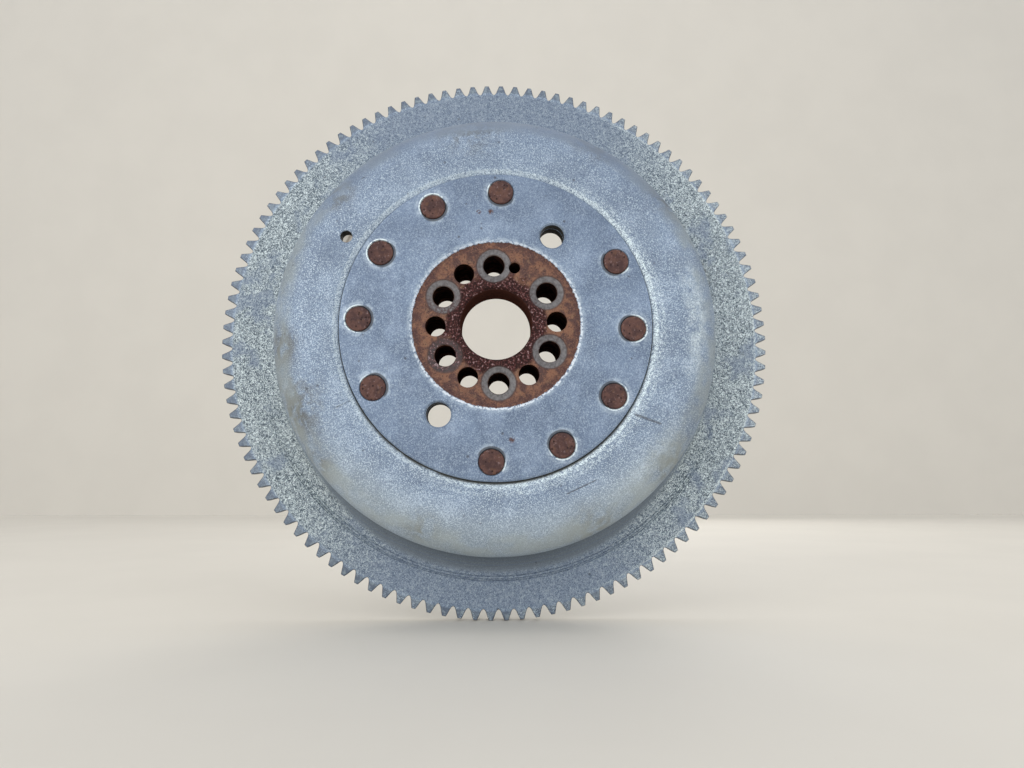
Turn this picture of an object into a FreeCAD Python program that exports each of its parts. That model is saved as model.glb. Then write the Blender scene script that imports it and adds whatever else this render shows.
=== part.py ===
"""Flywheel rotor of a small engine: a pressed toothed cup, a hub riveted into its crown, and a ring of magnets.

Row frame, in millimetres: the wheel stands on edge with its axis along Y. The outer face looks toward -Y, +Z is up,
and the origin is on the axis in the hub's crank seat face, so +Y points into the crankshaft's end.
Heights h below are measured outward from the toothed flange's outer face: y = SEAT_H - h.
"""
import FreeCAD, Part
import math
import os

# starter ring gear, cut in the rim of the cup's flange
TEETH = 114
MODULE = 2.54
PRESSURE_ANGLE = 20.0
TIP_R = MODULE * (TEETH + 2) / 2
ROOT_R = MODULE * (TEETH - 2.5) / 2
PITCH_R = MODULE * TEETH / 2
TOOTH_BACKLASH = 0.25
TOOTH_PHASE = 0.68
BEVEL_START_R = 141.0
BEVEL_DEPTH = 0.7
FLANGE_BACK_H = -7.0

# pressed cup
WALL_R = 113.5
SHOULDER_R = 21.0
CROWN_H = 38.0
FLANGE_FILLET = 10.5
CUP_INNER_R = 107.0
CUP_INNER_FILLET = 12.0
CUP_INNER_H = 31.5
RECESS_R = 77.0
RECESS_LIP_R = 80.2
RECESS_LIP_H = 37.0
RECESS_FLOOR_H = 32.8
RECESS_BACK_H = 26.8
BACK_STEP_INNER_R = 82.2
BACK_STEP_OUTER_R = 86.2
MOUTH_CHAMFER = 1.0

# hub: a round plate in the crown's recess with a boss that runs back to the crankshaft
PLATE_R = 76.6
PLATE_H = 39.3
PLATE_EDGE = 0.5
BOSS_R = 42.0
CLAMP_FACE_R = 41.2
CLAMP_FACE_H = 38.8
SEAT_H = 9.0
BORE_R = 17.5
BORE_END_H = 19.0
REGISTER_R = 21.0
BORE_CHAMFER = 1.2
BOSS_CHAMFER = 0.8

# holes in the hub, as radius of the circle, hole radius and angles counter-clockwise from +X seen from the front
BOLTS = 6
BOLT_CIRCLE_R = 29.35
BOLT_HOLE_R = 5.25
BOLT_START = 92.5
BOLT_STEP = 60.0
CLAMP_RING_R = 8.5
CLAMP_RING_DEPTH = 0.25
LIGHT_HOLES = 5
LIGHT_CIRCLE_R = 29.7
LIGHT_HOLE_R = 5.0
LIGHT_START = 122.5
DOWEL_HOLE_R = 2.75
DOWEL_ANGLE = 72.5
PULLER_HOLES = 2
PULLER_CIRCLE_R = 52.4
PULLER_HOLE_R = 6.0
PULLER_START = 58.2
PULLER_CHAMFER = 0.9
VENT_CIRCLE_R = 86.5
VENT_HOLE_R = 3.0
VENT_ANGLE = 149.4

# rivets that join the plate to the cup: ten of twelve places on one circle are filled
RIVET_CIRCLE_R = 67.2
RIVET_START = -1.8
RIVET_STEP = 30.0
RIVET_PLACES = (0, 1, 3, 4, 5, 6, 7, 9, 10, 11)
RIVET_SHANK_R = 4.5
RIVET_HEAD_R = 6.15
RIVET_SEAT_DEPTH = 2.2
RIVET_PROUD = 0.5
RIVET_EDGE = 0.3
RIVET_TAIL_R = 8.0
RIVET_TAIL_END_R = 5.0
RIVET_TAIL = 3.2

# magnets bonded to the cup's wall, held apart by a moulded cage and covered by a thin rolled sleeve
MAGNETS = 12
MAGNET_SPAN = 27.0
MAGNET_INNER_R = 99.0
MAGNET_BACK_H = -4.0
MAGNET_FRONT_H = 18.5
CAGE_RING = 2.0
CAGE_FRONT_OUTER_R = 106.4
SLEEVE_INNER_R = 98.4
SLEEVE_LIP_R = 103.5
SLEEVE_LIP = 0.6

# how far a cutting tool runs past the face it starts or ends at
OVER = 1.0


def y_of(h):
    """Row-frame Y of a height over the flange's outer face."""
    return SEAT_H - h


def around(radius, angle):
    """Point at this angle on a circle about the axis, as X and Z."""
    turn = math.radians(angle)
    return radius * math.cos(turn), radius * math.sin(turn)


def profile(points):
    """Closed half section from (radius, h) points; four numbers in one item are an arc's middle and its end."""
    edges = []
    here = FreeCAD.Vector(points[0][0], y_of(points[0][1]), 0)
    start = here
    for item in points[1:]:
        there = FreeCAD.Vector(item[-2], y_of(item[-1]), 0)
        if len(item) > 2:
            middle = FreeCAD.Vector(item[0], y_of(item[1]), 0)
            edges.append(Part.Arc(here, middle, there).toShape())
        else:
            edges.append(Part.makeLine(here, there))
        here = there
    edges.append(Part.makeLine(here, start))
    return Part.Face(Part.Wire(edges))


def turned(points, angle=360.0):
    """Solid of revolution about the wheel's axis from a half section."""
    return profile(points).revolve(FreeCAD.Vector(0, 0, 0), FreeCAD.Vector(0, 1, 0), angle)


def corner_arc(centre_r, centre_h, radius, start, end):
    """Middle and end of an arc about (centre_r, centre_h), with angles from the radial direction toward +h."""
    def at(angle):
        turn = math.radians(angle)
        return centre_r + radius * math.cos(turn), centre_h + radius * math.sin(turn)
    return at((start + end) / 2) + at(end)


def drill(circle_r, angle, hole_r, front_h, back_h):
    """Straight round tool along the wheel's axis."""
    x, z = around(circle_r, angle)
    length = front_h - back_h
    return Part.makeCylinder(hole_r, length, FreeCAD.Vector(x, y_of(front_h), z), FreeCAD.Vector(0, 1, 0))


def countersink(circle_r, angle, hole_r, front_h, width):
    """Cone that breaks a hole's front edge."""
    x, z = around(circle_r, angle)
    place = FreeCAD.Vector(x, y_of(front_h), z)
    return Part.makeCone(hole_r + width, hole_r, width, place, FreeCAD.Vector(0, 1, 0))


def involute_offset(radius):
    """Half angle of a tooth at a radius, in radians."""
    base_r = PITCH_R * math.cos(math.radians(PRESSURE_ANGLE))

    def inv(r):
        alpha = math.acos(min(1.0, base_r / r))
        return math.tan(alpha) - alpha
    half_pitch_thickness = (math.pi * MODULE / 2 - TOOTH_BACKLASH) / 2 / PITCH_R
    return half_pitch_thickness + inv(PITCH_R) - inv(radius)


def gear_face():
    """Outline of the toothed rim in the plane of the flange's outer face."""
    y = y_of(0)
    step = 2 * math.pi / TEETH
    phase = math.radians(TOOTH_PHASE)

    def point(radius, angle):
        return FreeCAD.Vector(radius * math.cos(angle), y, radius * math.sin(angle))
    root_half = involute_offset(ROOT_R)
    middle_r = (ROOT_R + TIP_R) / 2
    middle_half = involute_offset(middle_r)
    tip_half = involute_offset(TIP_R)
    edges = []
    for tooth in range(TEETH):
        at = phase + tooth * step
        rise = [point(ROOT_R, at - root_half), point(middle_r, at - middle_half), point(TIP_R, at - tip_half)]
        fall = [point(TIP_R, at + tip_half), point(middle_r, at + middle_half), point(ROOT_R, at + root_half)]
        following = at + step - root_half
        edges.append(Part.Arc(*rise).toShape())
        edges.append(Part.Arc(rise[2], point(TIP_R, at), fall[0]).toShape())
        edges.append(Part.Arc(*fall).toShape())
        edges.append(Part.Arc(fall[2], point(ROOT_R, at + step / 2), point(ROOT_R, following)).toShape())
    return Part.Face(Part.Wire(edges))


def make_rim():
    """Toothed ring of the flange, with each tooth bevelled where the starter pinion slides in."""
    rim = gear_face().extrude(FreeCAD.Vector(0, -FLANGE_BACK_H, 0))
    inner_r = WALL_R + FLANGE_FILLET
    rim = rim.cut(drill(0, 0, inner_r, OVER, FLANGE_BACK_H - OVER))
    slope = BEVEL_DEPTH / (TIP_R - BEVEL_START_R)
    bevel = turned([
        (BEVEL_START_R, 0), (BEVEL_START_R, OVER), (TIP_R + OVER, OVER), (TIP_R + OVER, -BEVEL_DEPTH - slope * OVER),
    ])
    return rim.cut(bevel)


def make_yoke():
    """The cup: crown with a recess for the hub plate, rounded shoulder, wall and toothed flange."""
    shoulder_r = WALL_R - SHOULDER_R
    shoulder_h = CROWN_H - SHOULDER_R
    inner_r = CUP_INNER_R - CUP_INNER_FILLET
    inner_h = CUP_INNER_H - CUP_INNER_FILLET
    flange_r = WALL_R + FLANGE_FILLET
    cup = turned([
        (BOSS_R, RECESS_FLOOR_H), (RECESS_R, RECESS_FLOOR_H), (RECESS_R, RECESS_LIP_H), (RECESS_LIP_R, CROWN_H),
        (shoulder_r, CROWN_H), corner_arc(shoulder_r, shoulder_h, SHOULDER_R, 90, 0),
        (WALL_R, FLANGE_FILLET), corner_arc(flange_r, FLANGE_FILLET, FLANGE_FILLET, 180, 270),
        (flange_r, FLANGE_BACK_H), (CUP_INNER_R + MOUTH_CHAMFER, FLANGE_BACK_H),
        (CUP_INNER_R, FLANGE_BACK_H + MOUTH_CHAMFER), (CUP_INNER_R, inner_h),
        corner_arc(inner_r, inner_h, CUP_INNER_FILLET, 0, 90), (BACK_STEP_OUTER_R, CUP_INNER_H),
        (BACK_STEP_INNER_R, RECESS_BACK_H), (BOSS_R, RECESS_BACK_H),
    ])
    cup = cup.fuse(make_rim()).removeSplitter()
    holes = [drill(VENT_CIRCLE_R, VENT_ANGLE, VENT_HOLE_R, CROWN_H + OVER, RECESS_BACK_H - OVER)]
    for side in range(PULLER_HOLES):
        angle = PULLER_START + 360 / PULLER_HOLES * side
        holes.append(drill(PULLER_CIRCLE_R, angle, PULLER_HOLE_R, CROWN_H, RECESS_BACK_H - OVER))
    for place in RIVET_PLACES:
        angle = RIVET_START + RIVET_STEP * place
        holes.append(drill(RIVET_CIRCLE_R, angle, RIVET_SHANK_R, CROWN_H, RECESS_BACK_H - OVER))
    return cup.cut(Part.makeCompound(holes))


def make_hub():
    """Plate and boss in one piece, bored for the crankshaft and drilled for its bolts."""
    hub = turned([
        (REGISTER_R, SEAT_H), (REGISTER_R, BORE_END_H),
        (BORE_R, BORE_END_H), (BORE_R, CLAMP_FACE_H - BORE_CHAMFER), (BORE_R + BORE_CHAMFER, CLAMP_FACE_H),
        (CLAMP_FACE_R, CLAMP_FACE_H), (CLAMP_FACE_R, PLATE_H), (PLATE_R - PLATE_EDGE, PLATE_H),
        (PLATE_R, PLATE_H - PLATE_EDGE), (PLATE_R, RECESS_FLOOR_H), (BOSS_R, RECESS_FLOOR_H),
        (BOSS_R, SEAT_H + BOSS_CHAMFER), (BOSS_R - BOSS_CHAMFER, SEAT_H),
    ])
    above = PLATE_H + OVER
    below = SEAT_H - OVER
    under_plate = RECESS_FLOOR_H - OVER
    holes = [drill(LIGHT_CIRCLE_R, DOWEL_ANGLE, DOWEL_HOLE_R, above, below)]
    for place in range(BOLTS):
        angle = BOLT_START + BOLT_STEP * place
        holes.append(drill(BOLT_CIRCLE_R, angle, BOLT_HOLE_R, above, below))
        holes.append(drill(BOLT_CIRCLE_R, angle, CLAMP_RING_R, above, CLAMP_FACE_H - CLAMP_RING_DEPTH))
    for place in range(LIGHT_HOLES):
        holes.append(drill(LIGHT_CIRCLE_R, LIGHT_START + BOLT_STEP * place, LIGHT_HOLE_R, above, below))
    for side in range(PULLER_HOLES):
        angle = PULLER_START + 360 / PULLER_HOLES * side
        holes.append(drill(PULLER_CIRCLE_R, angle, PULLER_HOLE_R, above, under_plate))
        holes.append(countersink(PULLER_CIRCLE_R, angle, PULLER_HOLE_R, PLATE_H, PULLER_CHAMFER))
    for place in RIVET_PLACES:
        angle = RIVET_START + RIVET_STEP * place
        holes.append(drill(RIVET_CIRCLE_R, angle, RIVET_SHANK_R, above, under_plate))
        holes.append(drill(RIVET_CIRCLE_R, angle, RIVET_HEAD_R, above, PLATE_H - RIVET_SEAT_DEPTH))
    for hole in holes:
        hub = hub.cut(hole)
    return hub


def make_rivet(angle):
    """Flat-headed rivet: head sunk in the plate, shank through both pieces, formed tail behind the cup's sheet."""
    head = drill(RIVET_CIRCLE_R, angle, RIVET_HEAD_R, PLATE_H + RIVET_PROUD, PLATE_H - RIVET_SEAT_DEPTH)
    head = head.makeChamfer(RIVET_EDGE, [min(head.Edges, key=lambda edge: edge.BoundBox.YMax)])
    shank = drill(RIVET_CIRCLE_R, angle, RIVET_SHANK_R, PLATE_H - RIVET_SEAT_DEPTH, RECESS_BACK_H)
    x, z = around(RIVET_CIRCLE_R, angle)
    foot = FreeCAD.Vector(x, y_of(RECESS_BACK_H), z)
    tail = Part.makeCone(RIVET_TAIL_R, RIVET_TAIL_END_R, RIVET_TAIL, foot, FreeCAD.Vector(0, 1, 0))
    return head.fuse(shank).fuse(tail).removeSplitter()


def sector(inner_r, outer_r, front_h, back_h, start, span):
    """Part of a ring between two angles."""
    section = profile([(inner_r, front_h), (outer_r, front_h), (outer_r, back_h), (inner_r, back_h)])
    section.rotate(FreeCAD.Vector(0, 0, 0), FreeCAD.Vector(0, -1, 0), start)
    return section.revolve(FreeCAD.Vector(0, 0, 0), FreeCAD.Vector(0, -1, 0), span)


def make_magnet(number):
    """Arc magnet, flat at both ends and bonded to the cup's wall."""
    pitch = 360.0 / MAGNETS
    start = number * pitch + (pitch - MAGNET_SPAN) / 2
    return sector(MAGNET_INNER_R, CUP_INNER_R, MAGNET_FRONT_H, MAGNET_BACK_H, start, MAGNET_SPAN)


def make_cage():
    """Moulded cage: a ring at each end of the magnets, joined by a bar in each gap between them."""
    front = turned([
        (MAGNET_INNER_R, MAGNET_FRONT_H), (CAGE_FRONT_OUTER_R, MAGNET_FRONT_H),
        (CAGE_FRONT_OUTER_R, MAGNET_FRONT_H + CAGE_RING), (MAGNET_INNER_R, MAGNET_FRONT_H + CAGE_RING),
    ])
    back = turned([
        (MAGNET_INNER_R, MAGNET_BACK_H), (CUP_INNER_R, MAGNET_BACK_H),
        (CUP_INNER_R, MAGNET_BACK_H - CAGE_RING), (MAGNET_INNER_R, MAGNET_BACK_H - CAGE_RING),
    ])
    pitch = 360.0 / MAGNETS
    gap = pitch - MAGNET_SPAN
    bars = []
    for number in range(MAGNETS):
        start = number * pitch - gap / 2
        bars.append(sector(MAGNET_INNER_R, CUP_INNER_R, MAGNET_FRONT_H, MAGNET_BACK_H, start, gap))
    return front.fuse([back] + bars).removeSplitter()


def make_sleeve():
    """Thin sleeve over the magnets' inner faces, with its back edge rolled outward over the cage."""
    back_h = MAGNET_BACK_H - CAGE_RING
    front_h = MAGNET_FRONT_H + CAGE_RING
    return turned([
        (SLEEVE_INNER_R, front_h), (MAGNET_INNER_R, front_h), (MAGNET_INNER_R, back_h), (SLEEVE_LIP_R, back_h),
        (SLEEVE_LIP_R, back_h - SLEEVE_LIP), (SLEEVE_INNER_R, back_h - SLEEVE_LIP),
    ])


def solid_of(shape):
    """The one solid a shape holds."""
    solid = shape.Solids[0] if shape.Solids else Part.Solid(shape.Shells[0])
    if solid.Volume < 0:
        solid.reverse()
    return solid


nodes = {
    "rotor_yoke": make_yoke(),
    "hub": make_hub(),
    "magnet_cage": make_cage(),
    "magnet_sleeve": make_sleeve(),
}
for number, place in enumerate(RIVET_PLACES, start=1):
    nodes[f"rivet_{number:02d}"] = make_rivet(RIVET_START + RIVET_STEP * place)
for number in range(MAGNETS):
    nodes[f"magnet_{number + 1:02d}"] = make_magnet(number)

os.makedirs("parts", exist_ok=True)
for name, shape in nodes.items():
    solid = solid_of(shape)
    assert len(shape.Solids) == 1 and solid.isValid(), name
    solid.exportStep(f"parts/{name}.step")
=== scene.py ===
"""Looks of the flywheel: detailed cup, hub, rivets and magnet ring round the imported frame, in a plain studio.

Sizes are in millimetres unless a name says otherwise, and are turned into metres when a mesh is made. The
wheel's axis is Y, its outer face looks toward -Y, and h is the height outward from the front of the toothed
flange: y = SEAT_H - h.
"""
import math
from functools import cached_property

import bmesh
import bpy
import numpy as np
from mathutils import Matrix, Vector, noise


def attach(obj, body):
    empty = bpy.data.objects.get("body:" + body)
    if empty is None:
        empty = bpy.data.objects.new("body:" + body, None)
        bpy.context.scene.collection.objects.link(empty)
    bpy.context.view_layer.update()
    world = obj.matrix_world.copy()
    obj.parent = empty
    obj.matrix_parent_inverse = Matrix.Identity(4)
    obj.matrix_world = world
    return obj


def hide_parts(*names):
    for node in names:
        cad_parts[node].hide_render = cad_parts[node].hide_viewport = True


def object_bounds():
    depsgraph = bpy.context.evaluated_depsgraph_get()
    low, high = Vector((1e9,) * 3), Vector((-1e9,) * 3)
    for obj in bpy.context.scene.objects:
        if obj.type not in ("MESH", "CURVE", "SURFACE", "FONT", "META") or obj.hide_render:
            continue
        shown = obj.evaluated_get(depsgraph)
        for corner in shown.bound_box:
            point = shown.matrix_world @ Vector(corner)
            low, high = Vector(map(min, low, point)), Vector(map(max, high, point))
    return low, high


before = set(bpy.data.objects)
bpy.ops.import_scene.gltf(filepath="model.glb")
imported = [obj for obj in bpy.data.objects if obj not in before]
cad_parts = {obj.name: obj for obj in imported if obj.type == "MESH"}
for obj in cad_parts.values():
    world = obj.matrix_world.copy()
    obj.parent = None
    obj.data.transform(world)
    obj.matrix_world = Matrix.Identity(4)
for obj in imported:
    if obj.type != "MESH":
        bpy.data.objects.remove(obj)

cad_low, cad_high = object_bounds()

# ---- sizes

MM = 0.001
WELD = 0.002
SEAT_H = 9.0

TEETH = 114
MODULE = 2.54
PRESSURE_ANGLE = math.radians(20)
TIP_R = MODULE * (TEETH + 2) / 2
ROOT_R = MODULE * (TEETH - 2.5) / 2
PITCH_R = MODULE * TEETH / 2
TOOTH_BACKLASH = 0.05
TOOTH_PHASE = math.radians(0.68)
BEVEL_START_R = 141.0
BEVEL_DEPTH = 0.7
TOOTH_EDGE = 0.3
TOOTH_WEAR = 0.12
TOOTH_FLANK = (
    (ROOT_R + 0.12, 0.62), (ROOT_R + 0.5, 0.27), (ROOT_R + 1.7, 0.03), (ROOT_R + 3.8, 0), (TIP_R - 0.12, 0),
)
FLANGE_BACK_H = -7.0

WALL_R = 113.5
SHOULDER_R = 21.0
CROWN_H = 38.0
FLANGE_FILLET = 10.5
CUP_INNER_R = 107.0
CUP_INNER_FILLET = 12.0
CUP_INNER_H = 31.5
RECESS_R = 77.0
RECESS_LIP_R = 80.2
RECESS_LIP_H = 37.0
RECESS_FLOOR_H = 32.8
RECESS_BACK_H = 26.8

PLATE_R = 76.6
PLATE_H = 39.3
BOSS_R = 42.0
CLAMP_FACE_R = 41.2
CLAMP_FACE_H = 38.8
BORE_R = 17.5
BORE_END_H = 19.0
REGISTER_R = 21.0

BOLT_CIRCLE_R = 29.35
BOLT_HOLE_R = 5.25
BOLT_START = 92.5
BOLT_STEP = 60
CLAMP_RING_R = 8.5
CLAMP_RING_DEPTH = 0.25
LIGHT_CIRCLE_R = 29.7
LIGHT_HOLE_R = 5.0
LIGHT_START = 122.5
DOWEL_HOLE_R = 2.75
DOWEL_ANGLE = 72.5
PULLER_CIRCLE_R = 52.4
PULLER_HOLE_R = 6.0
PULLER_START = 58.2
VENT_CIRCLE_R = 86.5
VENT_HOLE_R = 3.0
VENT_ANGLE = 149.4

RIVET_CIRCLE_R = 67.2
RIVET_START = -1.8
RIVET_STEP = 30
RIVET_PLACES = (0, 1, 3, 4, 5, 6, 7, 9, 10, 11)
RIVET_SHANK_R = 4.5
RIVET_HEAD_R = 6.15
RIVET_SEAT_DEPTH = 2.2
RIVET_PROUD = 0.5
RIVET_TAIL_R = 8.0
RIVET_TAIL = 3.2

MAGNETS = 12
MAGNET_INNER_R = 99.0
MAGNET_BACK_H = -4.0
MAGNET_FRONT_H = 18.5
CAGE_RING = 2.0
SLEEVE_INNER_R = 98.4
SLEEVE_LIP_R = 103.5
SLEEVE_LIP = 0.6

FORMING_LINES = (124.9, 126.3, 127.2)
FORMING_DEPTH = 0.32

# Columns of each surface of revolution; the cup's body has this many for each tooth.
CUP_COLUMNS = 4
HUB_COLUMNS = 960
RIVET_COLUMNS = 64
CAGE_COLUMNS = 720
SLEEVE_COLUMNS = 1080
TOOL_COLUMNS = 56
GAP = 0.02


# ---- mesh helpers

def around(radius, degrees):
    """X and Z of a point at this angle about the axis."""
    turn = math.radians(degrees)
    return radius * math.cos(turn), radius * math.sin(turn)


def arc(centre_r, centre_h, radius, start, end, steps):
    """Section points on an arc, with angles from the radial direction toward +h, in degrees."""
    turns = [math.radians(start + (end - start) * i / steps) for i in range(steps + 1)]
    return [(centre_r + radius * math.cos(t), centre_h + radius * math.sin(t)) for t in turns]


def run(section, *legs):
    """Adds straight legs to a section. Each is the radius and h of its end and its number of steps."""
    for *end, steps in legs:
        start = section[-1]
        section += [tuple(a + (b - a) * i / steps for a, b in zip(start, end)) for i in range(1, steps + 1)]


def full_turn(columns, start=0.0):
    """Evenly spaced angles all the way round."""
    return np.linspace(0, 2 * math.pi, columns, endpoint=False) + start


def circle_ring(radius, h, angles):
    """One ring of vertices at a radius, which may be one number or one for each angle."""
    radius = np.broadcast_to(radius, angles.shape)
    height = np.broadcast_to(h, angles.shape)
    return np.stack([radius * np.cos(angles), SEAT_H - height, radius * np.sin(angles)], axis=1)


def circle_rings(section, angles):
    return [circle_ring(radius, h, angles) for radius, h in section]


def placed(name, data):
    """New object in the scene."""
    piece = bpy.data.objects.new(name, data)
    bpy.context.scene.collection.objects.link(piece)
    return piece


def mesh_object(name, vertices, faces):
    """Object from vertices in millimetres."""
    mesh = bpy.data.meshes.new(name)
    mesh.from_pydata((np.asarray(vertices) * MM).tolist(), [], faces)
    mesh.validate()
    return placed(name, mesh)


def stitch(here, here_angles, there, there_angles):
    """Faces between two rings that start at the same angle: quads if their columns match, else triangles."""
    columns, others = len(here_angles), len(there_angles)
    if columns == others:
        pairs = [(c, (c + 1) % columns) for c in range(columns)]
        return [(here + c, there + c, there + beside, here + beside) for c, beside in pairs]
    here_turn = np.append(here_angles, here_angles[0] + 2 * math.pi)
    there_turn = np.append(there_angles, there_angles[0] + 2 * math.pi)
    faces = []
    c = d = 0
    while c < columns or d < others:
        corner, across = here + c % columns, there + d % others
        if d == others or (c < columns and here_turn[c + 1] <= there_turn[d + 1]):
            c += 1
            faces.append((corner, across, here + c % columns))
        else:
            d += 1
            faces.append((corner, across, there + d % others))
    return faces


def torus(name, groups):
    """Closed ring-shaped surface through groups of vertex rings, front face first and going outward.

    Each group is its rings and the angles of their columns.
    """
    rings = [(ring, angles) for group, angles in groups for ring in group]
    starts = np.cumsum([0] + [len(ring) for ring, _ in rings])
    faces = []
    for place, (_, angles) in enumerate(rings):
        beyond = (place + 1) % len(rings)
        faces.extend(stitch(int(starts[place]), angles, int(starts[beyond]), rings[beyond][1]))
    return mesh_object(name, np.concatenate([ring for ring, _ in rings]), faces)


def spindle(x, z, section, columns, turn=0.0):
    """Vertices and faces of a solid of revolution parallel to the axis, closed by a point at both ends."""
    angles = full_turn(columns, turn)
    vertices = [(x, SEAT_H - section[0][1], z)]
    for radius, h in section:
        ring = circle_ring(radius, h, angles) + np.array([x, 0, z])
        vertices.extend(ring.tolist())
    vertices.append((x, SEAT_H - section[-1][1], z))
    faces = [(0, 1 + c, 1 + (c + 1) % columns) for c in range(columns)]
    for ring in range(len(section) - 1):
        here = 1 + ring * columns
        for c in range(columns):
            beside = (c + 1) % columns
            faces.append((here + c, here + columns + c, here + columns + beside, here + beside))
    last = 1 + (len(section) - 1) * columns
    end = len(vertices) - 1
    faces.extend((last + (c + 1) % columns, last + c, end) for c in range(columns))
    return vertices, faces


def hole_tool(radius, front_h, back_h, chamfer=0.3):
    """Section of a drill with cones that break both edges of the hole it makes."""
    over = 3.0
    return [
        (radius + chamfer + over, front_h + over), (radius + chamfer, front_h), (radius, front_h - chamfer),
        (radius, back_h + chamfer), (radius + chamfer, back_h), (radius + chamfer + over, back_h - over),
    ]


def straight_tool(radius, front_h, back_h):
    """Section of a plain drill."""
    return [(radius, front_h), (radius, back_h)]


def tools_object(name, tools):
    """All drills as one object. Each item is circle radius, angle and section."""
    vertices, faces = [], []
    for circle_r, degrees, section in tools:
        x, z = around(circle_r, degrees)
        more, sides = spindle(x, z, section, TOOL_COLUMNS)
        start = len(vertices)
        vertices.extend(more)
        faces.extend(tuple(start + v for v in side) for side in sides)
    return mesh_object(name, vertices, faces)


def cut(piece, tools, name):
    """Takes groups of drills out of a piece and welds slivers; drills in one group don't touch each other."""
    for group in tools:
        tool = tools_object(name + "_tool", group)
        step = piece.modifiers.new("holes", "BOOLEAN")
        step.operation = "DIFFERENCE"
        step.solver = "EXACT"
        step.object = tool
        bpy.context.view_layer.update()
        drilled = bpy.data.meshes.new_from_object(piece.evaluated_get(bpy.context.evaluated_depsgraph_get()))
        piece.modifiers.clear()
        piece.data = drilled
        bpy.data.objects.remove(tool)
    welded = bmesh.new()
    welded.from_mesh(piece.data)
    bmesh.ops.remove_doubles(welded, verts=welded.verts[:], dist=WELD * MM)
    bmesh.ops.dissolve_degenerate(welded, edges=welded.edges[:], dist=WELD * MM)
    welded.to_mesh(piece.data)
    welded.free()
    return piece


def shade(piece, degrees):
    """Smooth shading that keeps edges sharper than this angle."""
    piece.data.shade_smooth()
    piece.data.set_sharp_from_angle(angle=math.radians(degrees))
    return piece


def uneven(vertices, size, depth, seed):
    """Smooth random offset for each vertex, in millimetres."""
    shift = Vector((seed * 17.3, seed * 5.1, seed * 9.7))
    return np.array([noise.noise(Vector(v) / size + shift) for v in vertices]) * depth


# ---- the cup

def involute_offset(radius):
    """Half angle of a tooth at a radius."""
    base_r = PITCH_R * math.cos(PRESSURE_ANGLE)
    alpha = math.acos(base_r / radius)
    at_pitch = math.tan(PRESSURE_ANGLE) - PRESSURE_ANGLE
    half_thickness = (math.pi * MODULE / 2 - TOOTH_BACKLASH) / 2 / PITCH_R
    return half_thickness + at_pitch - (math.tan(alpha) - alpha)


def tooth_outline():
    """Angle and radius of every column of the rim, with each tooth worn a little differently.

    TOOTH_FLANK gives the radius of each point of a flank and how far the root's fillet widens it there.
    """
    angles, radii = [], []
    tip_half = involute_offset(TIP_R)
    step = 2 * math.pi / TEETH
    for tooth in range(TEETH):
        centre = TOOTH_PHASE + tooth * step
        worn = TOOTH_WEAR * noise.noise(Vector((tooth * 0.71, 3.3, 0)))
        for radius, fillet in TOOTH_FLANK:
            angles.append(centre - involute_offset(radius) - fillet / radius)
            radii.append(radius)
        angles.extend([centre - tip_half, centre + tip_half])
        radii.extend([TIP_R - GAP + min(0, worn)] * 2)
        for radius, fillet in reversed(TOOTH_FLANK):
            angles.append(centre + involute_offset(radius) + fillet / radius)
            radii.append(radius)
        angles.append(centre + step / 2)
        radii.append(ROOT_R)
    return np.array(angles), np.array(radii)


def offset_inward(angles, radii, distance):
    """The outline moved inward by a distance, as X and Z."""
    x, z = radii * np.cos(angles), radii * np.sin(angles)
    along = np.stack([np.roll(x, -1) - np.roll(x, 1), np.roll(z, -1) - np.roll(z, 1)], axis=1)
    along /= np.linalg.norm(along, axis=1)[:, None]
    return x - along[:, 1] * distance, z + along[:, 0] * distance


def flat_ring(x, z, h):
    """Ring of vertices from X and Z."""
    return np.stack([x, SEAT_H - np.broadcast_to(h, x.shape), z], axis=1)


def rim_rings():
    """Rings of the toothed rim from its front face, over the teeth, to its back face."""
    angles, radii = tooth_outline()
    slope = BEVEL_DEPTH / (TIP_R - BEVEL_START_R)
    x_out, z_out = radii * np.cos(angles), radii * np.sin(angles)
    x_in, z_in = offset_inward(angles, radii, TOOTH_EDGE)
    inner_r = np.hypot(x_in, z_in)
    inner_angle = np.unwrap(np.arctan2(z_in, x_in))
    inner_angle += 2 * math.pi * np.round((angles[0] - inner_angle[0]) / (2 * math.pi))

    def between(share, back):
        """Ring part of the way from the circle where the bevel starts to the teeth's edge."""
        radius = BEVEL_START_R + (inner_r - BEVEL_START_R) * share
        turn = angles + (inner_angle - angles) * share
        h = np.where(back, FLANGE_BACK_H, -slope * (radius - BEVEL_START_R))
        return circle_ring(radius, h, turn)
    front = [between(share, False) for share in (0.0, 0.2, 0.45, 0.7, 1.0)]
    back = [between(share, True) for share in (1.0, 0.7, 0.4, 0.0)]
    front_h = -slope * (radii - BEVEL_START_R) - TOOTH_EDGE
    edge = [flat_ring(x_out, z_out, h) for h in (front_h, front_h - 2, FLANGE_BACK_H + TOOTH_EDGE)]
    return angles, front + edge + back


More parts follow.
